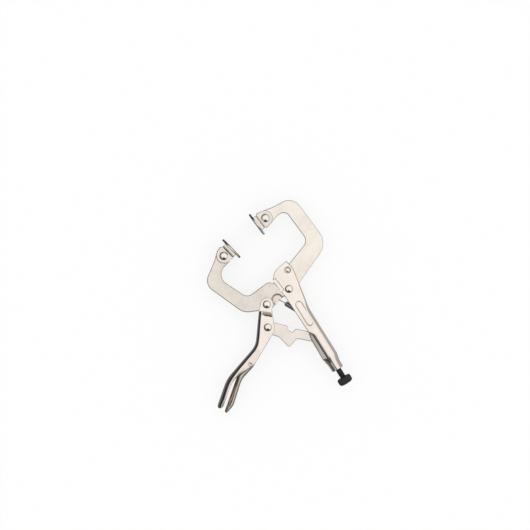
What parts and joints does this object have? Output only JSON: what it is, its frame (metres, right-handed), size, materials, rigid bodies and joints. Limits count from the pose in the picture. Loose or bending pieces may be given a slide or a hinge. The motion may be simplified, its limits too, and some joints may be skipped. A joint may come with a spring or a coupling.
{
  "type": "locking c-clamp pliers",
  "caption": "Locking C-clamp pliers: deep jaws with swivel pads, folded steel handles, a toggle link, a release lever and a knurled adjusting screw.",
  "frame": {"origin": "centre of the fixed pad's clamping face", "axes": "+Z along the rivets with z = 0 in the middle plane, +X along the adjusting screw to its knob, +Y to the fixed handle's spine; the pliers lie on their side"},
  "size_m": [0.2758, 0.254, 0.0356],
  "materials": {
    "bright_nickel": "smooth bright nickel plating over folded sheet",
    "satin_nickel": "satin nickel plating over forged plate",
    "pad_nickel": "satin nickel plating, a little duller",
    "spring_steel": "drawn spring wire",
    "black_oxide": "black oxide, half matt"
  },
  "bodies": {
    "frame": {"fixed_handle": "bright_nickel", "fixed_jaw": "satin_nickel", "jaw_anchor_rivet": "bright_nickel", "jaw_pivot_rivet": "bright_nickel", "spring_anchor_pin": "spring_steel", "return_spring": "spring_steel", "fixed_pad_rivet": "bright_nickel"},
    "swing_jaw": {"moving_jaw": "satin_nickel", "moving_pad_rivet": "bright_nickel"},
    "swing_handle": {"moving_handle": "bright_nickel", "handle_pivot_rivet": "bright_nickel", "link_pivot_rivet": "bright_nickel", "lever_pivot_pin": "bright_nickel"},
    "link": {"toggle_link": "satin_nickel"},
    "lever": {"release_lever": "bright_nickel"},
    "screw": {"adjusting_screw": "black_oxide"},
    "knob": {"screw_knob": "black_oxide"},
    "fixed_pad": {"fixed_pad_disc": "pad_nickel", "fixed_pad_bracket": "pad_nickel", "fixed_pad_stud": "pad_nickel"},
    "moving_pad": {"moving_pad_disc": "pad_nickel", "moving_pad_bracket": "pad_nickel", "moving_pad_stud": "pad_nickel"}
  },
  "joints": [
    {"name": "jaw_swing", "type": "hinge", "parent": "frame", "child": "swing_jaw", "pos_m": [0.10133, -0.00835, 0], "axis": [0, 0, 1], "range_deg": [-22, 0], "stiffness_Nm_per_rad": 0.4, "springref_deg": 34.38, "deforming": ["return_spring"]},
    {"name": "handle_swing", "type": "hinge", "parent": "swing_jaw", "child": "swing_handle", "pos_m": [0.10323, -0.04635, 0], "axis": [0, 0, 1], "range_deg": [0, 64]},
    {"name": "link_swing", "type": "hinge", "parent": "swing_handle", "child": "link", "pos_m": [0.13153, -0.06225, 0], "axis": [0, 0, 1], "range_deg": [-59.79, 0]},
    {"name": "lever_swing", "type": "hinge", "parent": "swing_handle", "child": "lever", "pos_m": [0.16273, -0.11065, 0], "axis": [0, 0, 1], "range_deg": [-1.5, 8]},
    {"name": "screw_travel", "type": "slide", "parent": "frame", "child": "screw", "axis": [1, 0, 0], "range_m": [0, 0.01]},
    {"name": "knob_turn", "type": "hinge", "parent": "screw", "child": "knob", "pos_m": [0.25233, -0.00935, 0], "axis": [1, 0, 0], "range_deg": [0, 1801]},
    {"name": "fixed_pad_swivel", "type": "hinge", "parent": "frame", "child": "fixed_pad", "pos_m": [-0.00127, 0.01645, 0], "axis": [0, 0, 1], "range_deg": [-5, 5]},
    {"name": "moving_pad_swivel", "type": "hinge", "parent": "swing_jaw", "child": "moving_pad", "pos_m": [0.01303, -0.06165, 0], "axis": [0, 0, 1], "range_deg": [-3, 15]}
  ],
  "couplings": [
    {"joint": "handle_swing", "follows": "jaw_swing", "ratio": -2.9091},
    {"joint": "link_swing", "follows": "jaw_swing", "ratio": 2.7177},
    {"joint": "knob_turn", "follows": "screw_travel", "rad_per_m": 3141.6}
  ]
}
